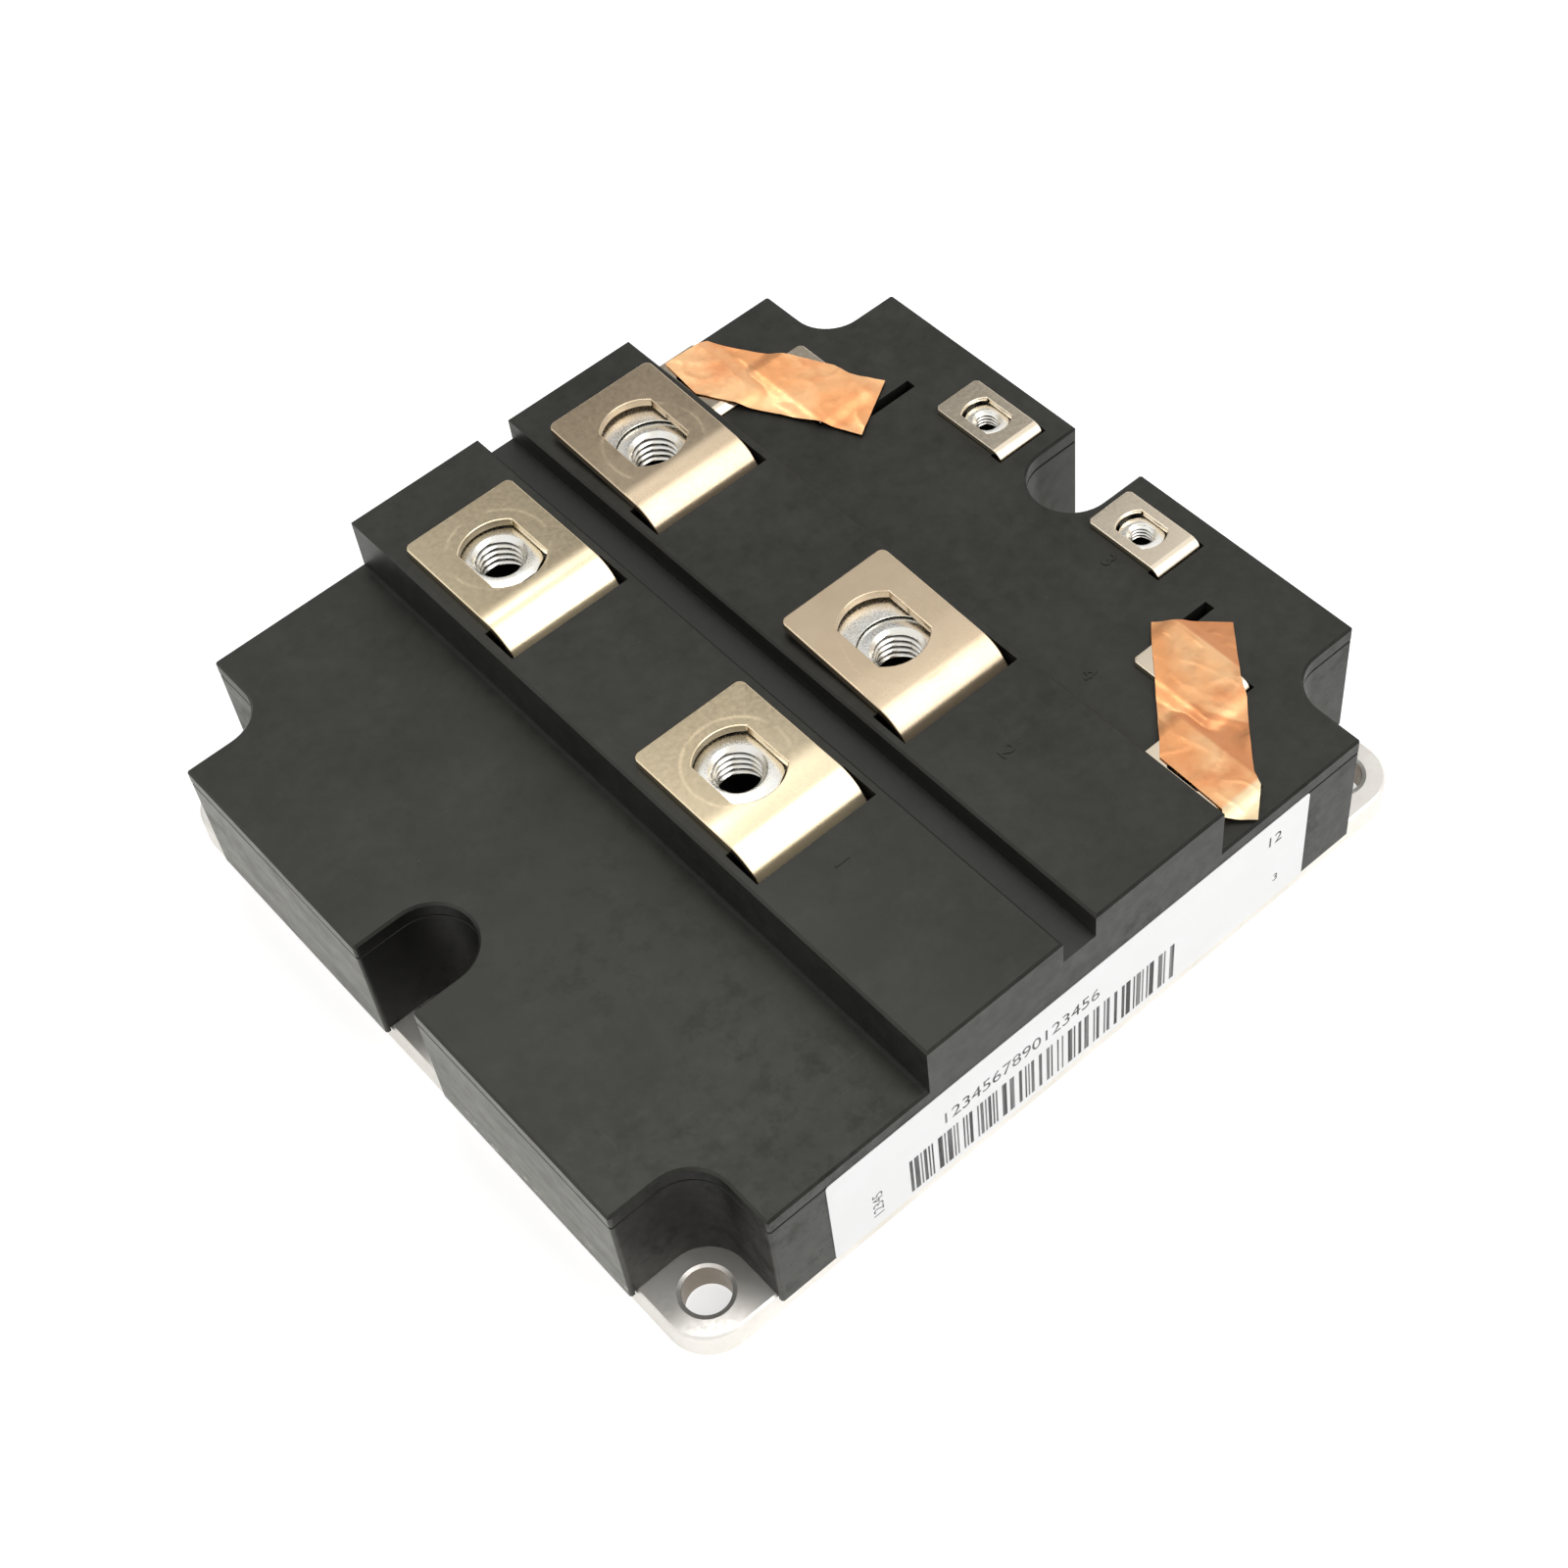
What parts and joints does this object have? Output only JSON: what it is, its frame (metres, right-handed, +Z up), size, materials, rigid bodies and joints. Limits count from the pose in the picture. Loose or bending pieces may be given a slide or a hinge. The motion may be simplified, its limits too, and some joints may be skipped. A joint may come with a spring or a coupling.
{
  "type": "power transistor module",
  "caption": "Flat black power transistor module with a notched case on a metal base plate, two raised ribs of bent screw terminals and small side terminals shorted by copper foil.",
  "frame": {"origin": "centre of the underside of the base plate", "axes": "+Z up out of the base plate, +X across the ribs towards the deck with the small terminals, +Y along the ribs away from the label"},
  "size_m": [0.14, 0.1302, 0.0392],
  "materials": {
    "base_metal": "matt nickel-plated copper",
    "frame_plastic": "fine moulded satin",
    "lid_plastic": "fine moulded satin",
    "terminal_metal": "satin nickel-plated copper",
    "nut_steel": "bright zinc plate",
    "substrate_ceramic": "sintered white",
    "copper": "bare copper",
    "silicon": "polished silicon",
    "bond_aluminium": "rolled ribbon",
    "board_laminate": "glass-fibre laminate with solder mask",
    "pin_brass": "plated",
    "gel": "clear soft silicone",
    "label_film": "satin printed film",
    "foil_copper": "crumpled bright copper foil"
  },
  "bodies": {
    "root": {"base_plate": "base_metal", "housing_frame": "frame_plastic", "housing_lid": "lid_plastic", "main_terminal_1": "terminal_metal", "main_terminal_2": "terminal_metal", "main_terminal_3": "terminal_metal", "main_terminal_4": "terminal_metal", "m8_nuts": "nut_steel", "aux_terminal_1": "terminal_metal", "aux_terminal_2": "terminal_metal", "aux_terminal_3": "terminal_metal", "aux_terminal_4": "terminal_metal", "aux_terminal_5": "terminal_metal", "aux_terminal_6": "terminal_metal", "m4_nuts": "nut_steel", "ceramic_substrate_1": "substrate_ceramic", "copper_tracks_1": "copper", "igbt_chip_1_1": "silicon", "igbt_chip_1_2": "silicon", "igbt_chip_1_3": "silicon", "igbt_chip_1_4": "silicon", "diode_chip_1_1": "silicon", "diode_chip_1_2": "silicon", "bond_ribbons_1": "bond_aluminium", "ceramic_substrate_2": "substrate_ceramic", "copper_tracks_2": "copper", "igbt_chip_2_1": "silicon", "igbt_chip_2_2": "silicon", "igbt_chip_2_3": "silicon", "igbt_chip_2_4": "silicon", "diode_chip_2_1": "silicon", "diode_chip_2_2": "silicon", "bond_ribbons_2": "bond_aluminium", "ceramic_substrate_3": "substrate_ceramic", "copper_tracks_3": "copper", "igbt_chip_3_1": "silicon", "igbt_chip_3_2": "silicon", "igbt_chip_3_3": "silicon", "igbt_chip_3_4": "silicon", "diode_chip_3_1": "silicon", "diode_chip_3_2": "silicon", "bond_ribbons_3": "bond_aluminium", "ceramic_substrate_4": "substrate_ceramic", "copper_tracks_4": "copper", "igbt_chip_4_1": "silicon", "igbt_chip_4_2": "silicon", "igbt_chip_4_3": "silicon", "igbt_chip_4_4": "silicon", "diode_chip_4_1": "silicon", "diode_chip_4_2": "silicon", "bond_ribbons_4": "bond_aluminium", "gate_board": "board_laminate", "gate_pins": "pin_brass", "silicone_gel": "gel", "label": "label_film", "foil_strip_1": "foil_copper", "foil_strip_2": "foil_copper"}
  },
  "joints": []
}
